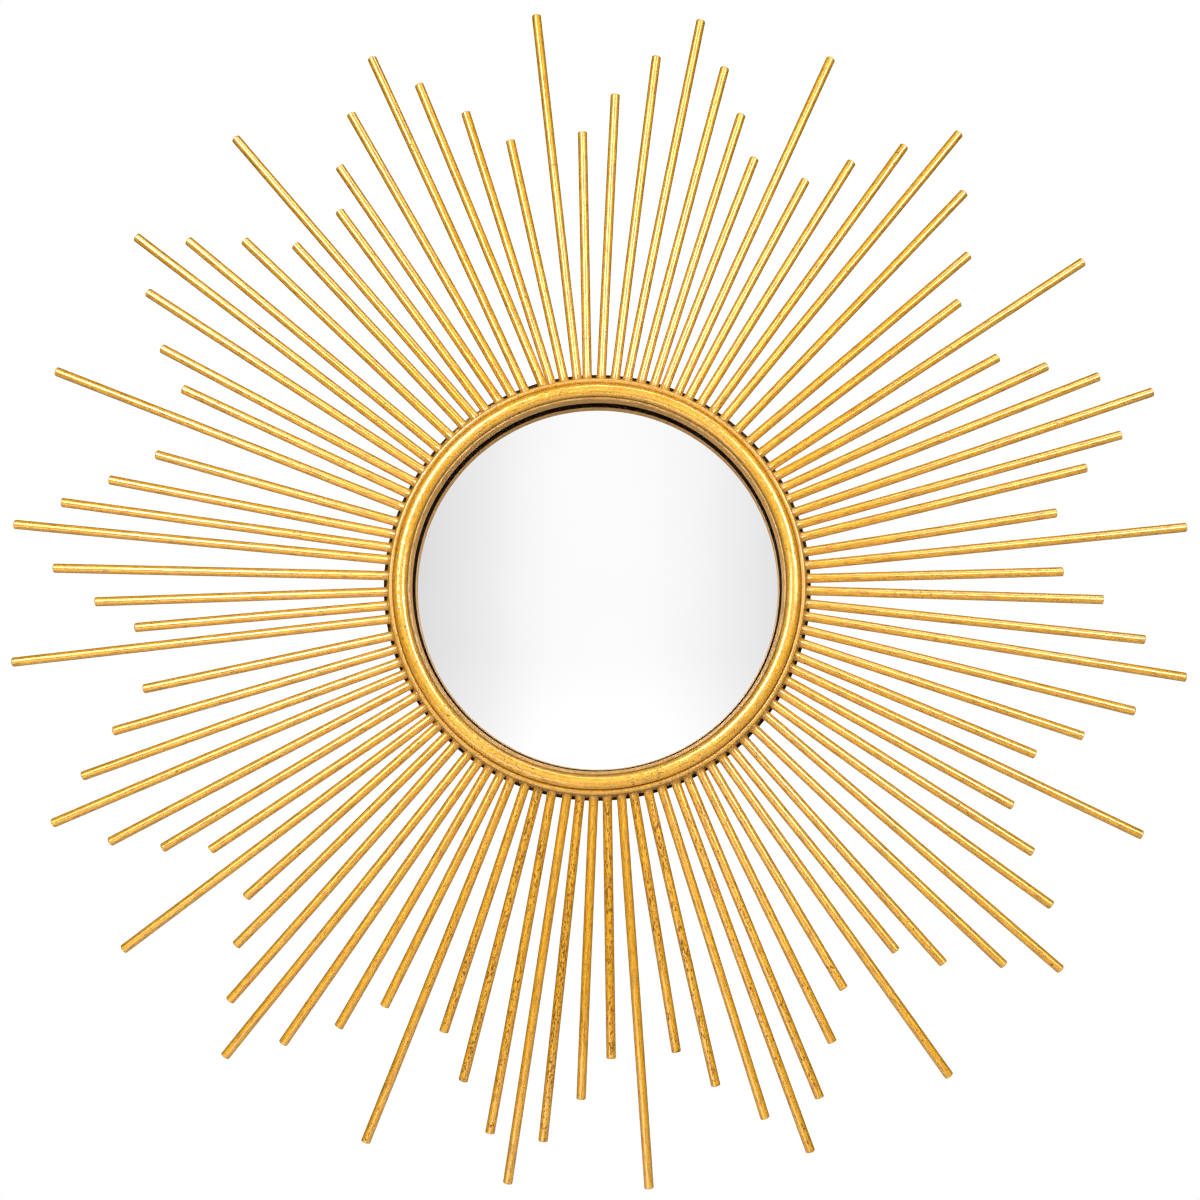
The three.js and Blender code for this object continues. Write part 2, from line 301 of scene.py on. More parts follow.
def gilt(name, relief, mottle, lines, dark, short):
    """Gold leaf over a red-brown ground: speckled, rubbed along the work, duller and tan where the tone is high, and
    darker in the recesses with painted shade and some dirt.
    """
    m, tree, bsdf = material(name)
    g = Graph(tree)
    co = g.coords_mm()
    along = g.attr("grain_co").outputs["Vector"]
    spot_co = g.node("ShaderNodeVectorMath", operation="MULTIPLY")
    g.link(along, spot_co.inputs[0])
    spot_co.inputs[1].default_value = short
    tone = g.attr("tone").outputs["Fac"]
    shade_and_dirt = g.attr("shade_and_dirt").outputs["Fac"]
    wear = g.attr("wear").outputs["Fac"]
    fine = g.noise(co, 1.3, 2.0, 0.6)
    speck = g.noise(co, 1.15, 2.0, 0.6)
    grain = g.noise(co, 0.5, 4.0, 0.65)
    streak = g.noise(along, 1.0, 3.0, 0.6)
    spot = g.noise(spot_co.outputs[0], 1.0, 3.0, 0.6)
    band = g.noise(along, 0.34, 2.0, 0.5)
    patch = g.noise(co, 0.03, 3.0, 0.55)
    # leaf: lighter and deeper gold
    leaf = g.mix(g.ramp(fine, 0.34, 0.66), (0.665, 0.292, 0.005), (0.845, 0.415, 0.011))
    leaf = g.mix(g.math("MULTIPLY", g.ramp(band, 0.40, 0.62), 0.45), leaf, (0.88, 0.45, 0.022))
    leaf = g.mix(g.math("MULTIPLY", g.ramp(streak, 0.50, 0.64), lines), leaf, (0.34, 0.125, 0.004))
    leaf = g.mix(g.math("MULTIPLY", g.ramp(grain, 0.50, 0.64), 0.60 * mottle), leaf, (0.44, 0.190, 0.014))
    leaf = g.mix(g.math("MULTIPLY", g.ramp(speck, 0.54, 0.66), 1.0 * mottle), leaf, (1.0, 0.70, 0.17))
    leaf = g.mix(g.math("MULTIPLY", g.ramp(speck, 0.44, 0.34), dark), leaf, (0.34, 0.135, 0.008))
    # rubbed through to the ground, along the work
    lift = g.math("MULTIPLY", g.math("SUBTRACT", wear, 0.5), 0.15)
    rub_at = g.math("ADD", g.math("ADD", spot, lift), g.math("MULTIPLY", g.math("SUBTRACT", patch, 0.5), 0.25))
    rub = g.math("MULTIPLY", g.ramp(rub_at, 0.60, 0.645), 0.88)
    leaf = g.mix(rub, leaf, (0.13, 0.050, 0.008))
    # duller tan film
    film = g.math("MULTIPLY", tone, g.mixf(g.ramp(grain, 0.38, 0.60), 0.68, 1.0), clamp=True)
    tan_at = g.mixf(0.55, speck, streak)
    tan = g.mix(g.ramp(tan_at, 0.40, 0.60), (0.26, 0.140, 0.040), (0.54, 0.320, 0.092))
    leaf = g.mix(film, leaf, tan)
    # dirt in the recesses
    # painted shade in the grooves, corners and roots, with some real dirt: darker brown where the attribute is high
    shade_dirt_mask = g.math("MULTIPLY", shade_and_dirt, g.mixf(g.ramp(grain, 0.34, 0.66), 1.0, 0.45), clamp=True)
    leaf = g.mix(shade_dirt_mask, leaf, (0.10, 0.055, 0.024))
    g.link(leaf, bsdf.inputs["Base Color"])
    # less metal and gloss where rubbed, under the tan film and in the painted shade
    worn_and_shaded = g.math("MAXIMUM", g.math("MAXIMUM", rub, g.math("MULTIPLY", film, 0.85)), shade_dirt_mask)
    g.link(g.mixf(worn_and_shaded, 0.42, 0.10), bsdf.inputs["Metallic"])
    g.link(g.math("ADD", g.mixf(worn_and_shaded, 0.38, 0.60), g.math("MULTIPLY", g.math("SUBTRACT", fine, 0.5), 0.12)), bsdf.inputs["Roughness"])
    bsdf.inputs["IOR"].default_value = 1.5
    bsdf.inputs["Specular IOR Level"].default_value = 0.1
    g.link(g.mixf(worn_and_shaded, 1.0, 0.12), bsdf.inputs["Coat Weight"])
    bsdf.inputs["Coat Roughness"].default_value = 0.10
    bsdf.inputs["Coat IOR"].default_value = 1.85
    b = g.bump(grain, 0.00005 * relief, 1.0)
    b = g.bump(fine, 0.000025 * relief, 1.0, b)
    g.link(b, bsdf.inputs["Normal"])
    return m


def worn_wall():
    """The ring's plain inner wall, where the leaf is thin and dull over a brown ground."""
    m, tree, bsdf = material("worn_inner_wall")
    g = Graph(tree)
    co = g.coords_mm()
    grain = g.noise(co, 0.5, 4.0, 0.65)
    band = g.noise(g.attr("grain_co").outputs["Vector"], 0.6, 3.0, 0.6)
    base = g.mix(g.ramp(grain, 0.35, 0.65), (0.38, 0.190, 0.040), (0.56, 0.300, 0.070))
    base = g.mix(g.math("MULTIPLY", g.ramp(band, 0.45, 0.7), 0.6), base, (0.66, 0.33, 0.040))
    g.link(base, bsdf.inputs["Base Color"])
    bsdf.inputs["Metallic"].default_value = 0.15
    bsdf.inputs["Specular IOR Level"].default_value = 0.25
    g.link(g.mixf(grain, 0.55, 0.75), bsdf.inputs["Roughness"])
    g.link(g.bump(grain, 0.00008, 1.0), bsdf.inputs["Normal"])
    return m


def dark_iron():
    m, tree, bsdf = material("dark_iron")
    g = Graph(tree)
    co = g.coords_mm()
    grain = g.noise(co, 0.5, 4.0, 0.65)
    patch = g.noise(co, 0.06, 3.0, 0.6)
    base = g.mix(g.ramp(grain, 0.35, 0.7), (0.022, 0.0115, 0.005), (0.050, 0.025, 0.009))
    # a lighter gold-brown band of spots on the hoop's outer edge: overspray, and painted light where that edge comes
    # out of the shade behind the ring; stronger at the upper left
    overspray_and_edge_light = g.math("MULTIPLY", g.ramp(g.math("ADD", grain, g.math("MULTIPLY", patch, 0.6)), 0.86, 1.04), 0.42)
    overspray_and_edge_light = g.math("MULTIPLY", overspray_and_edge_light, g.attr("overspray_and_edge_light").outputs["Fac"])
    base = g.mix(overspray_and_edge_light, base, (0.40, 0.20, 0.04))
    g.link(base, bsdf.inputs["Base Color"])
    g.link(g.mixf(grain, 0.55, 0.8), bsdf.inputs["Roughness"])
    bsdf.inputs["Specular IOR Level"].default_value = 0.12
    g.link(g.bump(grain, 0.00012, 1.0), bsdf.inputs["Normal"])
    return m


def mirror_glass():
    m, tree, bsdf = material("silvered_glass")
    bsdf.inputs["Base Color"].default_value = (0.97, 0.97, 0.97, 1)
    bsdf.inputs["Metallic"].default_value = 1.0
    bsdf.inputs["Roughness"].default_value = 0.0
    return m


def glass_edge():
    m, tree, bsdf = material("ground_glass_edge")
    g = Graph(tree)
    grain = g.noise(g.coords_mm(), 1.3, 3.0, 0.6)
    g.link(g.mix(grain, (0.10, 0.17, 0.14), (0.20, 0.30, 0.26)), bsdf.inputs["Base Color"])
    g.link(g.mixf(grain, 0.4, 0.65), bsdf.inputs["Roughness"])
    return m


def black_board():
    m, tree, bsdf = material("black_board")
    g = Graph(tree)
    co = g.coords_mm()
    pulp = g.noise(co, 0.9, 5.0, 0.7)
    cloud = g.noise(co, 0.02, 4.0, 0.6)
    scuff = g.noise(co, 0.12, 6.0, 0.75, 1.2)
    base = g.mix(g.ramp(cloud, 0.3, 0.7), (0.018, 0.014, 0.0115), (0.030, 0.024, 0.020))
    base = g.mix(g.math("MULTIPLY", g.ramp(scuff, 0.62, 0.75), 0.5), base, (0.06, 0.05, 0.042))
    base = g.mix(g.math("MULTIPLY", g.ramp(pulp, 0.55, 0.8), 0.35), base, (0.05, 0.044, 0.038))
    g.link(base, bsdf.inputs["Base Color"])
    g.link(g.mixf(pulp, 0.55, 0.85), bsdf.inputs["Roughness"])
    g.link(g.bump(pulp, 0.00012, 1.0), bsdf.inputs["Normal"])
    return m


def plated_steel():
    m, tree, bsdf = material("plated_steel")
    g = Graph(tree)
    co = g.coords_mm()
    drawn = g.node("ShaderNodeVectorMath", operation="MULTIPLY")
    g.link(co, drawn.inputs[0])
    drawn.inputs[1].default_value = (0.06, 1.0, 1.6)
    line = g.noise(drawn.outputs[0], 1.5, 4.0, 0.6)
    bloom = g.noise(co, 0.12, 4.0, 0.6)
    base = g.mix(g.ramp(bloom, 0.35, 0.7), (0.60, 0.60, 0.58), (0.42, 0.43, 0.44))
    g.link(base, bsdf.inputs["Base Color"])
    bsdf.inputs["Metallic"].default_value = 1.0
    g.link(g.math("ADD", g.mixf(bloom, 0.28, 0.5), g.math("MULTIPLY", line, 0.1)), bsdf.inputs["Roughness"])
    g.link(g.bump(line, 0.00003, 1.0), bsdf.inputs["Normal"])
    return m


GILT_RING = gilt("gilt_leaf_ring", 0.75, 0.48, 0.40, 0.10, (1.0, 3.0, 3.0))
GILT_BARS = gilt("gilt_leaf_bars", 0.12, 0.20, 0.65, 0.18, (1.0, 1.0, 3.0))
WALL = worn_wall()
IRON = dark_iron()
MIRROR = mirror_glass()
EDGE = glass_edge()
BLACK = black_board()
STEEL = plated_steel()


# ---- moulded ring ----
def ring_outline():
    lip_c = RING_IN + LIP_W / 2 + 0.05
    bead0 = RING_IN + LIP_W + QUIRK_W
    bead1 = bead0 + BEAD_W
    roll0 = bead1 + QUIRK_W
    roll_w = (RING_OUT - 0.7 - roll0) / 2
    roll_c = roll0 + roll_w
    roll_d = LIP_FRONT - FLANGE_DROP
    top = LIP_FRONT - LIP_H
    pts = [(RING_IN + 0.4, SEAT), (RING_IN + 0.1, SEAT + 0.15), (RING_IN, SEAT + 0.5), (RING_IN + 0.08, top - 0.2)]
    pts += arc(lip_c, top, LIP_W / 2 - 0.02, LIP_H, 8, 172, 11)
    pts += [(RING_IN + LIP_W + 0.06, top - QUIRK_D * 0.6), (RING_IN + LIP_W + QUIRK_W / 2, top - QUIRK_D), (bead0 - 0.04, top - QUIRK_D * 0.5)]
    pts += arc((bead0 + bead1) / 2, top, BEAD_W / 2, BEAD_H, 3, 180, 34)
    pts += [(bead1 + 0.02, top - 1.0), (bead1 + 0.03, roll_d + 0.1), (bead1 + 0.1, roll_d - QUIRK_D * 0.7), (bead1 + QUIRK_W / 2, roll_d - QUIRK_D), (roll0 - 0.05, roll_d - QUIRK_D * 0.4)]
    pts += arc(roll_c, roll_d, roll_w, FLANGE_H, 4, 168, 17)
    pts += [(RING_OUT - 0.5, roll_d - 1.0), (RING_OUT - 0.1, roll_d - 2.6), (RING_OUT + 0.12, SEAT + 3.0), (RING_OUT + 0.25, SEAT + 0.6), (RING_OUT + 0.1, SEAT + 0.1), (RING_OUT - 0.4, SEAT)]
    return resample(pts, 0.75)


def make_ring():
    outline = ring_outline()
    segs = 640
    v = spin(outline, segs)
    n = len(outline)
    p = np.array(outline)
    t = np.linspace(0, 2 * np.pi, segs, endpoint=False)
    # outward normals of the outline
    tang = np.roll(p, -1, 0) - np.roll(p, 1, 0)
    tang /= np.linalg.norm(tang, axis=1)[:, None] + 1e-9
    nr, nd = -tang[:, 1], tang[:, 0]
    front = np.clip(smooth(SEAT + 1.0, SEAT + 3.0, p[:, 1]), 0, 1)
    lump = 0.10 * fbm(v * 0.09, 3, 5) + 0.045 * fbm(v * 0.45, 3, 9)
    pit = np.clip(value_noise(v * 0.6, 21) - 0.55, 0, 1) * -0.35
    outer = smooth(133.2, 134.6, p[:, 0]) * front
    lump = lump + outer[None] * 0.28 * fbm(v * 0.55, 2, 31)
    # the inner wall and the edge of the lip run true
    true_edge = smooth(RING_IN + 0.5, RING_IN + 2.0, p[:, 0])
    move = (lump + pit) * (front * true_edge)[None]
    dirx = np.stack([nr[None] * np.sin(t)[:, None], -nd[None] + 0 * t[:, None], nr[None] * np.cos(t)[:, None]], -1)
    v = v + dirx * move[..., None]
    ob = new_object("moulded_ring_gilt", v.reshape(-1, 3), grid_faces(segs, n, True, True), GILT_RING)
    ob.data.materials.append(WALL)
    ob.data.materials.append(IRON)
    mid = (p + np.roll(p, -1, 0)) / 2
    wall = (mid[:, 0] < RING_IN + 0.25) & (mid[:, 1] < LIP_FRONT - LIP_H - 0.1) & (mid[:, 1] > SEAT + 0.3)
    rear = mid[:, 1] <= SEAT + 0.3
    ob.data.polygons.foreach_set("material_index", np.tile(np.where(rear, 2, np.where(wall, 1, 0)), segs))
    # place along the outline, for the finish
    seg_len = np.linalg.norm(np.roll(p, -1, 0) - p, axis=1)
    run = np.concatenate([[0], np.cumsum(seg_len)[:-1]])
    k = 0.14 * 127
    co = np.stack([np.tile(run, (segs, 1)), np.repeat(k * np.cos(t)[:, None], n, 1), np.repeat(k * np.sin(t)[:, None], n, 1)], -1)
    set_vector(ob, "grain_co", co.reshape(-1, 3))
    r, d = p[:, 0], p[:, 1]
    bead0 = RING_IN + LIP_W + QUIRK_W
    lip = 1 - 0.95 * smooth(bead0 + 0.1, bead0 + 1.5, r)
    groove_out = np.exp(-(((r - 130.5) / 0.8) ** 2)) * (d < LIP_FRONT - 1.2)
    flank = smooth(133.0, 134.4, r)
    roll = smooth(131.0, 131.6, r)
    tone = np.clip(1.0 * np.where(r < 126, lip, 0.1) + 0.3 * groove_out + 0.38 * roll + 0.2 * flank, 0, 1)
    # painted shade: darker in the grooves beside the bead, along the back edge where the ring sits on the hoop, and on
    # the outer flank by the bars' roots
    groove_in = np.exp(-(((r - 121.4) / 0.3) ** 2))
    back = 1 - smooth(SEAT + 0.2, SEAT + 1.6, d)
    shade_and_dirt = np.clip(0.26 * groove_in + 0.04 * groove_out + 0.35 * back + 0.10 * flank, 0, 1)
    wander = 0.5 + 0.5 * fbm(v * 0.05, 3, 44)
    set_float(ob, "tone", np.tile(tone, (segs, 1)) * (0.8 + 0.4 * wander))
    set_float(ob, "shade_and_dirt", np.tile(shade_and_dirt, (segs, 1)) * (0.6 + 0.8 * wander))
    set_float(ob, "wear", 0.12 + 0.5 * wander)
    set_float(ob, "overspray_and_edge_light", np.zeros(v.shape[0] * v.shape[1]))
    return ob


# ---- bars ----
def bar_angles(fan, i):
    root = START + PITCH * (fan * 8 + i) + SLIP[fan][i] / 10
    return math.radians(root), math.radians(root + LEAN[fan][i] / 10)


SIDES = 18


def bar_mesh(fan, i):
    """One bar: points, faces, grain coordinates, tone, and darkening that is painted shade at the root and dirt at the
    cut end.
    """
    rng = np.random.default_rng(1000 + fan * 8 + i)
    root, aim = bar_angles(fan, i)
    lean = aim - root
    start = RING_OUT - 0.6
    b = start * math.cos(lean)
    tip = TIP_R[REPEAT[i]]
    length = -b + math.sqrt(b * b - start * start + tip * tip)
    u = np.array([math.sin(aim), 0, math.cos(aim)])
    side = np.array([math.cos(aim), 0, -math.sin(aim)])
    out = np.array([0, -1.0, 0])
    p0 = np.array([start * math.sin(root), -ROD_AXIS, start * math.cos(root)])
    s = [0, 0.25, 0.5, 0.8, 1.2, 1.7, 2.3, 3.0, 4.0, 5.2, 6.6, 8.2]
    s = np.array(s + list(np.linspace(10.5, length - 1.2, int((length - 10.5) / 3.0))) + [length - 0.7, length - 0.4, length - 0.18, length - 0.05, length])
    rad = np.full(len(s), ROD_R)
    rad[-4:] -= [0.03, 0.12, 0.28, 0.5]
    cut = rng.uniform(-0.05, 0.05), rng.uniform(-0.05, 0.05)
    phi = np.linspace(0, 2 * np.pi, SIDES, endpoint=False) + 0.1
    c, sn = np.cos(phi)[None], np.sin(phi)[None]
    shift = rng.uniform(-400, 400, 3)
    local = np.stack([ROD_R * c + 0 * s[:, None], ROD_R * sn + 0 * s[:, None], s[:, None] + 0 * c], -1) + shift
    squeeze = np.array([0.5, 0.5, 0.12])
    rr = rad[:, None] + 0.035 * fbm(local * squeeze, 3, 3) * smooth(length, length - 3, s)[:, None]
    # weld flare where the bar meets the ring
    weld = 0.95 + 0.45 * rng.uniform(-1, 1)
    flare = weld * np.exp(-np.clip(s - 0.6, 0, None) / 1.25)
    lumps = 1 + 0.6 * fbm(local * np.array([0.45, 0.45, 0.6]), 2, 8)
    rr = rr + flare[:, None] * lumps * (0.55 + 0.45 * np.clip(-sn * 0.2 + np.abs(c), 0, 1))
    sag = 0.12 * rng.uniform(-1, 1) * np.sin(np.pi * s / length)
    pts = p0 + u * s[:, None, None] + side * (rr * c + sag[:, None])[..., None] + out * (rr * sn)[..., None]
    ends = smooth(length - 1.0, length, s)[:, None] * (cut[0] * c + cut[1] * sn) * ROD_R
    pts = pts + u * ends[..., None]
    cap0, cap1 = p0, p0 + u * length
    verts = np.concatenate([pts.reshape(-1, 3), [cap0, cap1]])
    faces = [tuple(f) for f in grid_faces(len(s), SIDES, False, True)]
    n0 = len(s) * SIDES
    for k in range(SIDES):
        k2 = (k + 1) % SIDES
        faces.append((n0, k, k2))
        faces.append((n0 + 1, (len(s) - 1) * SIDES + k2, (len(s) - 1) * SIDES + k))
    co = local * np.array([1, 1, 0.14])
    co = np.concatenate([co.reshape(-1, 3), [shift, shift + [0, 0, 0.14 * length]]])
    tone = (0.50 * np.exp(-np.clip(s - 1.5, 0, None) / 1.6))[:, None] + 0 * c
    tone = np.clip(tone + 0.35 * smooth(length - 0.5, length - 0.1, s)[:, None], 0, 1)
    # painted shade where the bar meets the ring; the darker cut end is dirt on the bar
    shade_and_dirt = (0.28 * np.exp(-np.clip(s - 0.8, 0, None) / 1.2))[:, None] + 0 * c
    shade_and_dirt = shade_and_dirt + 0.25 * smooth(length - 0.45, length - 0.1, s)[:, None]
    tone = np.concatenate([tone.ravel(), [0.5, 0.45]])
    shade_and_dirt = np.concatenate([shade_and_dirt.ravel(), [0.5, 0.3]])
    low = smooth(0.80, 0.96, -math.cos(root))
    heavy = low * rng.uniform()
    base = 0.02 + 0.15 * rng.uniform() + 0.20 * heavy
    crest = smooth(0.25, 0.95, sn)
    wear = np.concatenate([(base + (0.06 + 0.62 * heavy) * crest + 0 * s[:, None]).ravel(), [base, base]])
    return verts, faces, co, tone, shade_and_dirt, wear


def weld_mesh(fan):
    """The lumpy run of weld in the corner behind the bars' roots."""
    def root(f, i):
        f, wrap = f % FANS, (f - f % FANS) // FANS
        return math.degrees(bar_angles(f, i)[0]) + 360 * wrap

    a = math.radians((root(fan, 0) + root(fan - 1, 7)) / 2 + 0.06)
    b = math.radians((root(fan, 7) + root(fan + 1, 0)) / 2 - 0.06)
    steps, sides = 96, 12
    t = np.linspace(a, b, steps)[:, None]
    phi = np.linspace(0, 2 * np.pi, sides, endpoint=False)[None]
    centre_r, centre_d = RING_OUT + 0.35, SEAT + 0.7
    # the welder put down more on the upper left
    bump = np.exp(-((((t + np.pi) % (2 * np.pi) - np.pi + math.radians(37)) / math.radians(9)) ** 2))
    place = np.stack([centre_r * np.sin(t), centre_d + 0 * t, centre_r * np.cos(t)], -1)
    size = 1.15 + 1.5 * bump + 0.5 * fbm(place * 0.33, 3, 61) + 0.25 * fbm(place * 1.1, 2, 62)
    size = np.clip(size, 0.75, 3.0)
    r = centre_r + size * np.cos(phi)
    d = centre_d + 0.75 * size * np.sin(phi)
    d = np.maximum(d, SEAT - 0.2)
    v = np.stack([r * np.sin(t), -d, r * np.cos(t)], -1)
    faces = [tuple(f) for f in grid_faces(steps, sides, False, True)]
    faces.append(tuple(range(sides)))
    faces.append(tuple((steps - 1) * sides + k for k in reversed(range(sides))))
    co = np.stack([size * np.cos(phi), size * np.sin(phi), 12 * t + 0 * phi], -1) + 50 * fan
    tone = np.full(v.shape[:2], 0.6)
    # painted shade of the corner behind the roots, less where the weld stands out at the upper left
    shade_and_dirt = np.full(v.shape[:2], 0.30) - 0.2 * bump
    return v.reshape(-1, 3), faces, co.reshape(-1, 3), tone.ravel(), shade_and_dirt.ravel(), np.full(tone.size, 0.6)


def make_fan(fan):
    parts = [bar_mesh(fan, i) for i in range(8)] + [weld_mesh(fan)]
    verts, faces, co, tone, shade_and_dirt, wear, base = [], [], [], [], [], [], 0
    for v, f, c, a, b, w in parts:
        faces += [tuple(int(x) + base for x in q) for q in f]
        base += len(v)
        verts.append(v)
        co.append(c)
        tone.append(a)
        shade_and_dirt.append(b)
        wear.append(w)
    ob = new_object("ray_fan_%02d_gilt" % (fan + 1), np.concatenate(verts), faces, GILT_BARS)
    set_vector(ob, "grain_co", np.concatenate(co))
    set_float(ob, "tone", np.concatenate(tone))
    set_float(ob, "shade_and_dirt", np.concatenate(shade_and_dirt))
    set_float(ob, "wear", np.concatenate(wear))
    return ob


# ---- hoop, mirror, board, hanger ----
def make_hoop():
    b = 0.35
    pts = [(HOOP_IN, HOOP_BACK + b)]
    pts += [(HOOP_IN, HOOP_FRONT - b), (HOOP_IN + 0.1, HOOP_FRONT - 0.1), (HOOP_IN + b, HOOP_FRONT)]
    pts += [(HOOP_OUT - b, HOOP_FRONT), (HOOP_OUT - 0.1, HOOP_FRONT - 0.1), (HOOP_OUT, HOOP_FRONT - b)]
    pts += [(HOOP_OUT, HOOP_BACK + b), (HOOP_OUT - 0.1, HOOP_BACK + 0.1), (HOOP_OUT - b, HOOP_BACK), (HOOP_IN + b, HOOP_BACK), (HOOP_IN + 0.1, HOOP_BACK + 0.1)]
    p = resample(pts, 1.6)
    v = spin(p, 360)
    v = v + 0.06 * fbm(v * 0.25, 3, 77)[..., None] * np.array([1, 0.4, 1])
    ob = new_object("hoop_iron", v.reshape(-1, 3), grid_faces(360, len(p), True, True), IRON)
    radius = np.hypot(v[..., 0], v[..., 2])
    turn = np.arctan2(v[..., 0], v[..., 2])
    more = np.exp(-(((turn + math.radians(37)) / math.radians(26)) ** 2))
    # overspray and painted light on the hoop's outer edge, strongest at the upper left
    set_float(ob, "overspray_and_edge_light", smooth(133.5, 136.0, radius) * (0.7 + 1.2 * more))
    return ob


def make_mirror():
    """Silvered disc with a ground edge."""
    back = BOARD_FLOOR + GAP
    r = GLASS_R
    pts = [(0.0, back), (r - 0.4, back), (r, back + 0.2), (r, SILVER - 0.3), (r - 0.3, SILVER), (0.0, SILVER)]
    segs = 256
    ring = np.array(pts[1:5])
    v = spin(ring, segs).reshape(-1, 3)
    faces = [tuple(f) for f in grid_faces(segs, 4, True, False)]
    faces.append(tuple(i * 4 for i in range(segs)))
    faces.append(tuple(i * 4 + 3 for i in reversed(range(segs))))
    ob = new_object("mirror_silvered", v, faces, MIRROR, smooth_faces=False)
    ob.data.materials.append(EDGE)
    for poly in ob.data.polygons:
        front = len(poly.vertices) > 4 and poly.center.y < -(SILVER - 0.1) * MM
        poly.material_index = 0 if front else 1
    return ob


def outline_prism(name, loops, y0, y1, mat):
    """A plate from closed outlines in x and z (the first is the edge, the others are holes), between two y."""
    curve = bpy.data.curves.new(name + "_outline", "CURVE")
    curve.dimensions = "2D"
    curve.fill_mode = "BOTH"
    for loop in loops:
        sp = curve.splines.new("POLY")
        sp.points.add(len(loop) - 1)
        for k, (x, z) in enumerate(loop):
            sp.points[k].co = (x * MM, z * MM, 0, 1)
        sp.use_cyclic_u = True
    curve.extrude = abs(y1 - y0) / 2 * MM
    tmp = bpy.data.objects.new(name + "_tmp", curve)
    bpy.context.scene.collection.objects.link(tmp)
    # stand the flat outline up: its x stays x, its y becomes z
    tmp.matrix_world = Matrix.Translation((0, (y0 + y1) / 2 * MM, 0)) @ Matrix.Rotation(math.pi / 2, 4, "X")
    bpy.context.view_layer.update()
    me = bpy.data.meshes.new_from_object(tmp.evaluated_get(bpy.context.evaluated_depsgraph_get()))
    me.transform(tmp.matrix_world)
    bpy.data.objects.remove(tmp)
    ob = bpy.data.objects.new(name, me)
    bpy.context.scene.collection.objects.link(ob)
    bm = bmesh.new()
    bm.from_mesh(me)
    bmesh.ops.remove_doubles(bm, verts=bm.verts, dist=1e-6)
    bmesh.ops.dissolve_limit(bm, angle_limit=0.01, verts=bm.verts, edges=bm.edges)
    bmesh.ops.recalc_face_normals(bm, faces=bm.faces)
    bm.to_mesh(me)
    bm.free()
    me.materials.clear()
    me.materials.append(mat)
    return ob


def circle(x, z, r, n=48, a0=0.0, a1=360.0):
    t = np.radians(np.linspace(a0, a1, n, endpoint=abs(a1 - a0) < 359.9))
    return [(x + r * math.cos(k), z + r * math.sin(k)) for k in t]


def stadium(w, h, z, grow=0.0):
    r = h / 2 + grow
    x = w / 2 - h / 2
    return circle(x, z, r, 25, -90, 90) + circle(-x, z, r, 25, 90, 270)


def keyhole_outline(entry, slot):
    z0 = PLATE["z"] - 3
    a = math.degrees(math.asin(slot / entry))
    return circle(0, z0, entry, 40, 90 + a, 450 - a) + circle(0, z0 + KEY["rise"], slot, 17, 0, 180)


def apply_modifiers(ob):
    bpy.context.view_layer.update()
    me = bpy.data.meshes.new_from_object(ob.evaluated_get(bpy.context.evaluated_depsgraph_get()))
    ob.modifiers.clear()
    ob.data = me
    return ob


def cut(ob, cutters):
    for k in cutters:
        mod = ob.modifiers.new("cut", "BOOLEAN")
        mod.operation = "DIFFERENCE"
        mod.solver = "EXACT"
        mod.object = k
    apply_modifiers(ob)
    for k in cutters:
        bpy.data.objects.remove(k)
    return ob


def bevel(ob, width, segments=2):
    mod = ob.modifiers.new("edge", "BEVEL")
    mod.width = width * MM
    mod.segments = segments
    mod.limit_method = "ANGLE"
    mod.angle_limit = math.radians(40)
    apply_modifiers(ob)
    ob.data.shade_smooth() if hasattr(ob.data, "shade_smooth") else None
    set_sharp(ob, 35)
    return ob


def set_sharp(ob, degrees):
    """Smooth shading with the hard edges kept hard."""
    bm = bmesh.new()
    bm.from_mesh(ob.data)
    for e in bm.edges:
        e.smooth = len(e.link_faces) == 2 and e.calc_face_angle(0) < math.radians(degrees)
    for f in bm.faces:
        f.smooth = True
    bm.to_mesh(ob.data)
    bm.free()


def make_board():
    b = 0.5
    pts = [(0.0, 0.0), (BOARD_R - b, 0.0), (BOARD_R - 0.15, 0.15), (BOARD_R, b), (BOARD_R, BOARD_TOP - b), (BOARD_R - 0.15, BOARD_TOP - 0.15), (BOARD_R - b, BOARD_TOP), (BOARD_RIM_IN, BOARD_TOP), (BOARD_RIM_IN, BOARD_FLOOR)]
    segs = 256
    ring = np.array(pts[1:])
    v = spin(ring, segs).reshape(-1, 3)
    n = len(ring)
    faces = [tuple(f) for f in grid_faces(segs, n, True, False)]
    faces.append(tuple(i * n for i in range(segs)))
    faces.append(tuple(i * n + n - 1 for i in reversed(range(segs))))
    ob = new_object("backing_board_black", v, faces, BLACK, smooth_faces=False)
    cutters = [
        outline_prism("c1", [stadium(PLATE["w"], PLATE["h"], PLATE["z"], GAP)], 1.0, -(PLATE["t"] + GAP), BLACK),
        outline_prism("c2", [keyhole_outline(KEY["entry"] + 1, KEY["entry"])], 1.0, -KEY["depth"], BLACK),
    ]
    for side in (-1, 1):
        cutters.append(outline_prism("c3", [circle(side * SCREW["x"], PLATE["z"], SCREW["shank_r"] + GAP, 20)], 1.0, -(SCREW["length"] + GAP), BLACK))
    cut(ob, cutters)
    set_sharp(ob, 35)
    return ob


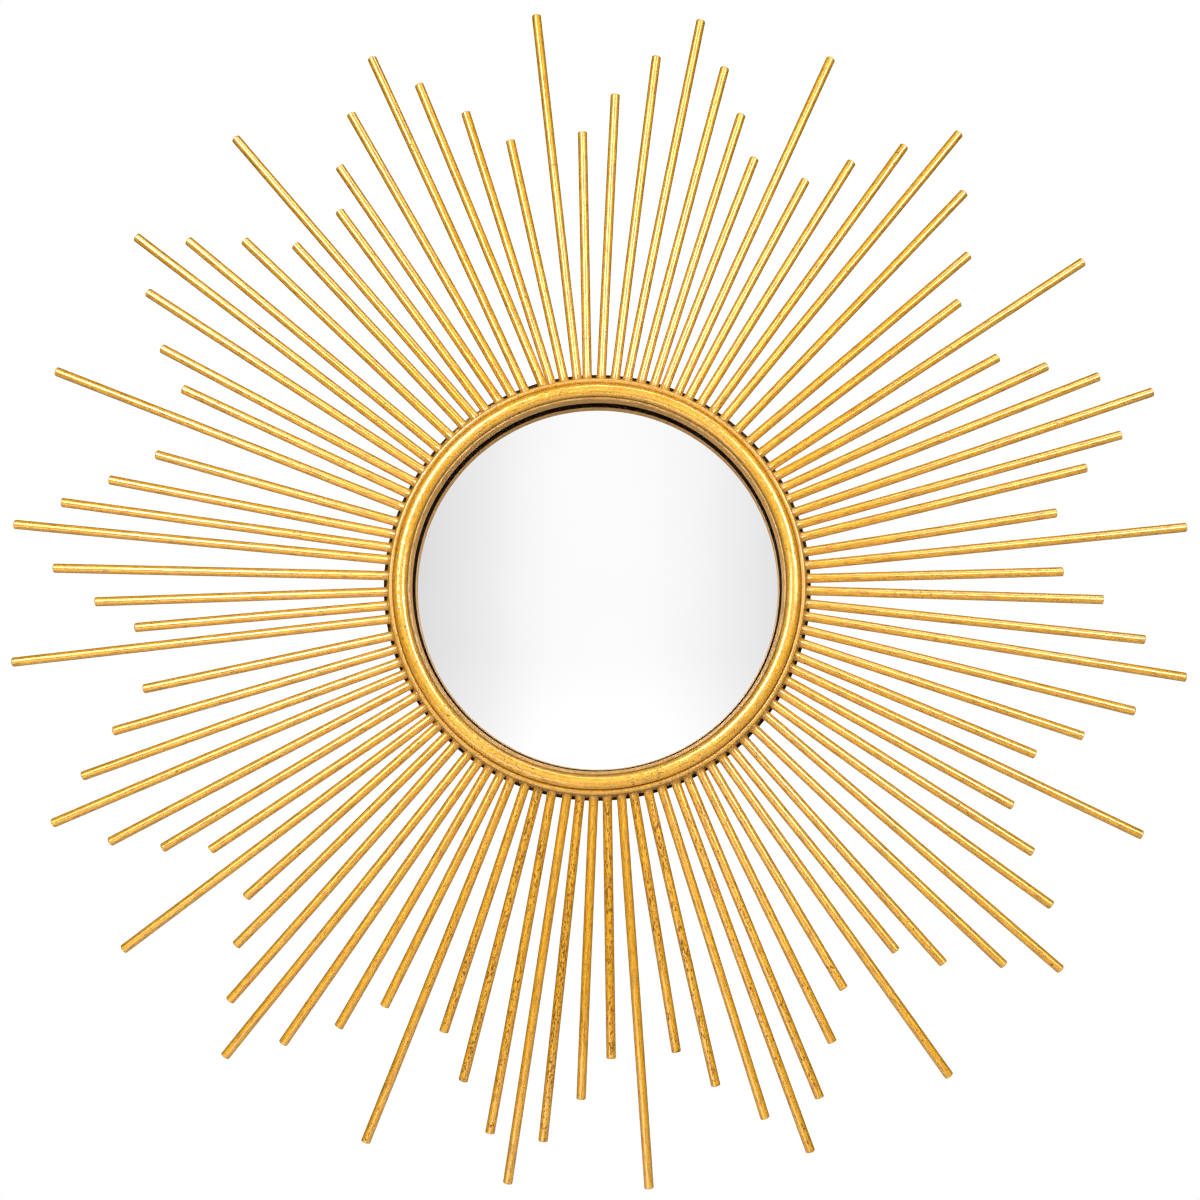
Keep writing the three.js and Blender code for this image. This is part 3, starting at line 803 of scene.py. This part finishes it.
def make_plate():
    loops = [stadium(PLATE["w"], PLATE["h"], PLATE["z"]), keyhole_outline(KEY["entry"], KEY["slot"])]
    for side in (-1, 1):
        loops.append(circle(side * SCREW["x"], PLATE["z"], SCREW["head_r"] + 0.25, 32))
    ob = outline_prism("hanger_plate_steel", loops, -0.02, -PLATE["t"], STEEL)
    bevel(ob, 0.15)
    return ob


def make_screw(side, name):
    x, z = side * SCREW["x"], PLATE["z"]
    hr, ht = SCREW["head_r"], SCREW["head_t"]
    sr, ln = SCREW["shank_r"], SCREW["length"]
    pts = [(0.0, 0.05), (hr * 0.55, 0.06), (hr * 0.8, 0.14), (hr - 0.12, 0.34), (hr, 0.52), (hr - 0.05, ht), (sr, ht + 0.25), (sr * 0.8, ht + 0.5)]
    turns = 10
    for k in range(turns):
        base = ht + 0.5 + (ln - ht - 0.9) * k / turns
        pts += [(sr * 0.78, base + 0.04), (sr, base + 0.16)]
    pts += [(0.25, ln - 0.1), (0.0, ln)]
    p = np.array(pts)
    segs = 40
    t = np.linspace(0, 2 * np.pi, segs, endpoint=False)[:, None]
    body = p[1:-1]
    v = np.stack([x + body[None, :, 0] * np.sin(t), -body[None, :, 1] + 0 * t, z + body[None, :, 0] * np.cos(t)], -1)
    n = len(body)
    verts = np.concatenate([v.reshape(-1, 3), [[x, -p[0, 1], z], [x, -p[-1, 1], z]]])
    faces = [tuple(f) for f in grid_faces(segs, n, True, False)]
    c0, c1 = segs * n, segs * n + 1
    for i in range(segs):
        i2 = (i + 1) % segs
        faces.append((c0, i2 * n, i * n))
        faces.append((c1, i * n + n - 1, i2 * n + n - 1))
    ob = new_object(name, verts, faces, STEEL, smooth_faces=False)
    turn = math.radians(24 if side < 0 else -37)
    cutters = []
    for q in (0, 90):
        a = turn + math.radians(q)
        w, l = 0.42, 1.75
        quad = [(-l, -w), (l, -w), (l, w), (-l, w)]
        loop = [(x + px * math.cos(a) - pz * math.sin(a), z + px * math.sin(a) + pz * math.cos(a)) for px, pz in quad]
        cutters.append(outline_prism("cx", [loop], 1.0, -0.62, STEEL))
    cut(ob, cutters)
    set_sharp(ob, 35)
    return ob


made = []


def stand_for(ob, node):
    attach(ob, "root")
    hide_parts(node)
    made.append(ob)


stand_for(make_ring(), "moulded_ring")
for fan in range(FANS):
    stand_for(make_fan(fan), "ray_fan_%02d" % (fan + 1))
stand_for(make_hoop(), "hoop")
stand_for(make_mirror(), "mirror_glass")
stand_for(make_board(), "backing_board")
stand_for(make_plate(), "hanger_plate")
stand_for(make_screw(-1, "hanger_screw_left_steel"), "hanger_screw_left")
stand_for(make_screw(1, "hanger_screw_right_steel"), "hanger_screw_right")


# ---- studio ----
def emission_material(name, build):
    m = bpy.data.materials.new(name)
    m.use_nodes = True
    m.node_tree.nodes.clear()
    g = Graph(m.node_tree)
    out = g.node("ShaderNodeOutputMaterial")
    g.link(build(g), out.inputs["Surface"])
    return m


def plane(name, centre, size, normal, mat):
    """A rectangle of the given width and height that faces along normal."""
    n = Vector(normal).normalized()
    up = Vector((0, 0, 1)) if abs(n.z) < 0.9 else Vector((0, 1, 0))
    right = up.cross(n).normalized()
    up = n.cross(right)
    c = Vector(centre)
    w, h = size[0] / 2, size[1] / 2
    pts = [c - right * w - up * h, c + right * w - up * h, c + right * w + up * h, c - right * w + up * h]
    me = bpy.data.meshes.new(name)
    me.from_pydata([tuple(p) for p in pts], [], [(0, 1, 2, 3)])
    ob = bpy.data.objects.new(name, me)
    bpy.context.scene.collection.objects.link(ob)
    me.materials.append(mat)
    return ob


def floor_shader(g):
    path = g.node("ShaderNodeLightPath")
    lit = g.node("ShaderNodeBsdfDiffuse")
    lit.inputs["Color"].default_value = (0.55, 0.55, 0.54, 1)
    glow = g.node("ShaderNodeEmission")
    glow.inputs["Strength"].default_value = 1.0
    mix = g.node("ShaderNodeMixShader")
    g.link(path.outputs["Is Camera Ray"], mix.inputs[0])
    g.link(lit.outputs[0], mix.inputs[1])
    g.link(glow.outputs[0], mix.inputs[2])
    return mix.outputs[0]


plane("floor_pale", (0, 0, -1.0), (12, 12), (0, 0, 1), emission_material("pale_floor", floor_shader))


def wall_shader(g):
    """The bright wall across the studio that the mirror shows, with a soft upright band of light."""
    c = g.node("ShaderNodeTexCoord")
    sep = g.node("ShaderNodeSeparateXYZ")
    g.link(c.outputs["Object"], sep.inputs[0])
    x, z = sep.outputs["X"], sep.outputs["Z"]
    ramp = g.node("ShaderNodeValToRGB")
    ramp.color_ramp.interpolation = "CARDINAL"
    steps = [(-1.3, 0.65), (-0.6, 0.87), (-0.17, 1.0), (0.5, 0.9), (1.3, 0.6)]
    points = ramp.color_ramp.elements
    while len(points) < len(steps):
        points.new(0.5)
    for e, (at_x, level) in zip(points, steps):
        e.position = (at_x + 1.3) / 2.6
        e.color = (level, level, level, 1)
    cloud = g.node("ShaderNodeTexNoise")
    g.link(c.outputs["Object"], cloud.inputs["Vector"])
    cloud.inputs["Scale"].default_value = 1.6
    cloud.inputs["Detail"].default_value = 2.0
    g.link(g.math("DIVIDE", g.math("ADD", x, 1.3), 2.6), ramp.inputs[0])
    level = g.math("ADD", ramp.outputs[0], g.math("MULTIPLY", g.math("SUBTRACT", cloud.outputs[0], 0.5), 0.05))
    low = g.math("MULTIPLY", g.math("MAXIMUM", g.math("SUBTRACT", 0.12, z), 0.0), 0.16)
    high = g.math("MULTIPLY", g.math("MAXIMUM", g.math("SUBTRACT", z, 0.9), 0.0), 0.03)
    level = g.math("SUBTRACT", g.math("ADD", level, low), high)
    e = g.node("ShaderNodeEmission")
    g.link(level, e.inputs["Strength"])
    return e.outputs[0]


plane("studio_wall", (0, -6.0, 0.38), (2.6, 2.74), (0, 1, 0), emission_material("studio_wall_white", wall_shader))


def softbox(name, place, target, size, power, colour=(1, 1, 1)):
    data = bpy.data.lights.new(name, "AREA")
    data.shape = "RECTANGLE"
    data.size, data.size_y = size
    data.energy = power
    data.color = colour
    ob = bpy.data.objects.new(name, data)
    ob.location = place
    ob.rotation_euler = (Vector(target) - Vector(place)).to_track_quat("-Z", "Y").to_euler()
    ob.visible_camera = False
    bpy.context.scene.collection.objects.link(ob)
    return ob


def at(azimuth, elevation, distance):
    a, e = math.radians(azimuth), math.radians(elevation)
    return (distance * math.sin(a) * math.cos(e), -distance * math.cos(a) * math.cos(e), distance * math.sin(e))


softbox("softbox_left", at(-27, 22, 2.6), (0, 0, 0), (1.35, 1.9), 38)
softbox("softbox_left_core", at(-22, 20, 2.55), (0, 0, 0), (0.34, 0.95), 13)
softbox("softbox_right", at(31, 15, 2.6), (0, 0, 0), (1.45, 1.35), 26)
softbox("softbox_low", at(-28, -31, 1.6), (0, 0, 0), (1.2, 0.5), 3, (1.0, 0.95, 0.85))
softbox("softbox_right_core", at(31, 13, 2.55), (0, 0, 0), (0.50, 0.60), 8)
softbox("softbox_top", at(24, 57, 2.6), (0, 0, 0), (2.0, 0.6), 19)

# a light behind, for the back only
rear = softbox("softbox_back", at(196, 28, 2.6), (0, 0, 0), (2.4, 1.6), 46)
rear.visible_glossy = False

world = bpy.data.worlds.new("studio")
bpy.context.scene.world = world
world.use_nodes = True
wt = world.node_tree
wt.nodes.clear()
wg = Graph(wt)
w_out = wg.node("ShaderNodeOutputWorld")
w_path = wg.node("ShaderNodeLightPath")
w_seen = wg.node("ShaderNodeBackground")
w_seen.inputs["Color"].default_value = (1, 1, 1, 1)
w_seen.inputs["Strength"].default_value = 1.0
w_fill = wg.node("ShaderNodeBackground")
w_fill.inputs["Color"].default_value = (1.0, 0.97, 0.88, 1)
w_co = wg.node("ShaderNodeTexCoord")
w_sep = wg.node("ShaderNodeSeparateXYZ")
wg.link(w_co.outputs["Generated"], w_sep.inputs[0])
w_front = wg.mixf(wg.ramp(w_sep.outputs["Y"], -0.98, -0.62), 0.07, 0.38)
w_low = wg.mixf(wg.ramp(w_sep.outputs["Z"], -0.15, -0.65), 1.0, 1.7)
wg.link(wg.mixf(wg.ramp(w_sep.outputs["Y"], -0.62, -0.22), wg.math("MULTIPLY", w_front, w_low), 0.035), w_fill.inputs["Strength"])
w_mix = wg.node("ShaderNodeMixShader")
wg.link(w_path.outputs["Is Camera Ray"], w_mix.inputs[0])
wg.link(w_fill.outputs[0], w_mix.inputs[1])
wg.link(w_seen.outputs[0], w_mix.inputs[2])
wg.link(w_mix.outputs[0], w_out.inputs["Surface"])

# ---- camera at the photograph's viewpoint: near, a little below the centre, looking slightly up ----
cam_data = bpy.data.cameras.new("camera")
cam_data.sensor_width = 36.0
cam_data.lens = 43.5
cam_data.clip_start, cam_data.clip_end = 0.02, 60.0
cam = bpy.data.objects.new("camera", cam_data)
bpy.context.scene.collection.objects.link(cam)
right = Vector((0.99991, 0.01324, 0.000875)).normalized()
forward = Vector((-0.013269, 0.997735, 0.065950)).normalized()
up = right.cross(forward).normalized()
forward = (forward + (up - right) * (0.58 / 1450)).normalized()
up = right.cross(forward).normalized()
right = forward.cross(up).normalized()
cam.matrix_world = Matrix(
    (
        (right.x, up.x, -forward.x, 0.01486),
        (right.y, up.y, -forward.y, -(933.3 + ROD_AXIS) * MM),
        (right.z, up.z, -forward.z, -0.0715),
        (0, 0, 0, 1),
    )
)
bpy.context.scene.camera = cam

scene = bpy.context.scene
scene.view_settings.view_transform = "Standard"
scene.view_settings.look = "None"
scene.view_settings.exposure = 0.0
scene.view_settings.gamma = 1.0
scene.cycles.max_bounces = 12
scene.cycles.glossy_bounces = 6
scene.cycles.filter_width = 1.3
